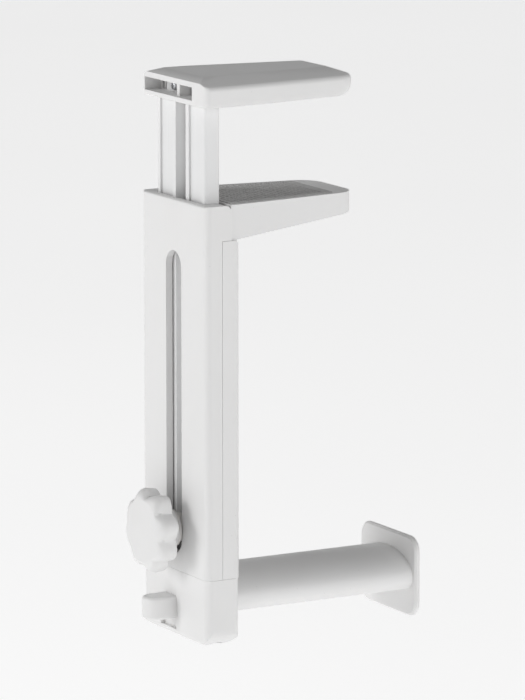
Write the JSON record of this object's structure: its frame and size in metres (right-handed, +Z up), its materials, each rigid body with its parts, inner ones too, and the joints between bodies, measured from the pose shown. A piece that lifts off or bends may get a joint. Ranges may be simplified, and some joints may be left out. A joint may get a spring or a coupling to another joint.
{
  "type": "headphone hook",
  "caption": "Under-desk headphone hook: a sliding two-jaw clamp locked by a lobed knob grips the desk top, and a half-round saddle with an end plate carries the headband.",
  "frame": {"origin": "centre of the upper clamp pad's lower face, which lies on the desk top", "axes": "+Z up, +Y from the desk's edge into the desk, +X along the edge, to the right of a person who faces the desk"},
  "size_m": [0.0454, 0.098, 0.1911],
  "materials": {
    "jaw_plastic": "white moulded plastic, fine satin texture",
    "shell_plastic": "white moulded plastic, fine satin texture",
    "block_plastic": "white moulded plastic, fine satin texture",
    "saddle_plastic": "white moulded plastic, slightly smoother on the crest",
    "knob_plastic": "white moulded plastic, matt grip",
    "mast_paint": "white powder coat on an aluminium channel",
    "pad_rubber": "pale grey, matt",
    "guide_nylon": "natural nylon",
    "screw_steel": "zinc-plated",
    "insert_brass": "turned"
  },
  "bodies": {
    "clamp_frame": {"upper_jaw": "jaw_plastic", "upper_pad": "pad_rubber", "mast": "mast_paint", "jaw_screw_left": "screw_steel", "jaw_screw_right": "screw_steel", "slot_guide": "guide_nylon", "clamp_bolt": "screw_steel"},
    "sleeve": {"front_shell": "shell_plastic", "rear_shell_with_lower_jaw": "shell_plastic", "lower_pad": "pad_rubber", "shell_screw_1": "screw_steel", "shell_screw_2": "screw_steel", "shell_screw_3": "screw_steel", "shell_screw_4": "screw_steel", "end_block": "block_plastic", "block_screw_left": "screw_steel", "block_screw_right": "screw_steel", "saddle_arm": "saddle_plastic", "saddle_screw_left": "screw_steel", "saddle_screw_right": "screw_steel"},
    "washer": {"friction_washer": "guide_nylon"},
    "knob": {"knob": "knob_plastic", "knob_insert": "insert_brass"}
  },
  "joints": [
    {"name": "sleeve_slide", "type": "slide", "parent": "clamp_frame", "child": "sleeve", "axis": [0, 0, -1], "range_m": [-0.003, 0.089]},
    {"name": "washer_slide", "type": "slide", "parent": "clamp_frame", "child": "washer", "axis": [0, -1, 0], "range_m": [0, 0.0014]},
    {"name": "knob_turn", "type": "hinge", "parent": "washer", "child": "knob", "pos_m": [0, -0.032, -0.144], "axis": [0, -1, 0], "range_deg": [0, 720]}
  ],
  "couplings": [
    {"joint": "knob_turn", "follows": "washer_slide", "rad_per_m": 8975.9}
  ]
}
